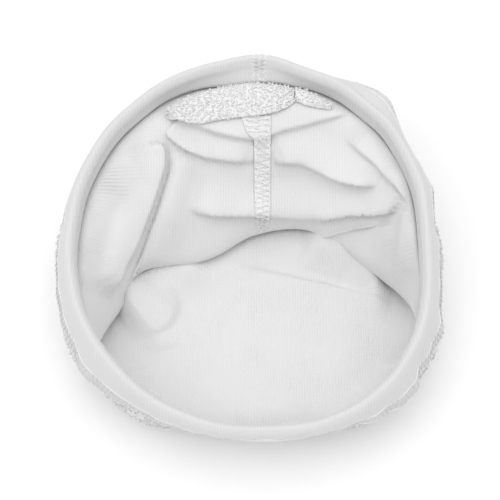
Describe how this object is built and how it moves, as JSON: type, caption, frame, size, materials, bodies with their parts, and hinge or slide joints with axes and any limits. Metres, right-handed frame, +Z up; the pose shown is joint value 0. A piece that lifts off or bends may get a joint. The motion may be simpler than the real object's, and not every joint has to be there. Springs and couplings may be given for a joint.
{
  "type": "terry cloth turban",
  "caption": "Soft terry turban lying crown down: open cuffed head hole, front wall sunk in as a folded shelf with a centre seam and hem facings.",
  "frame": {"origin": "on the floor under the middle of the hat's bounding box, at the level of the flattened crown", "axes": "+Z up, out of the head opening; +Y towards the front of the hat, where the seam is; +X to the right of the picture"},
  "size_m": [0.1944, 0.1986, 0.075],
  "materials": {
    "terry_knit": "white cotton terry knit, loops outside and smooth jersey inside",
    "jersey_band": "white cotton jersey, folded double",
    "serged_edge": "white overlock stitching",
    "terry_facing": "white cotton terry, loops outward"
  },
  "bodies": {
    "root": {"crown": "terry_knit", "cuff": "jersey_band", "front_seam": "serged_edge", "hem_facing_left": "terry_facing", "hem_facing_right": "terry_facing"}
  },
  "joints": []
}
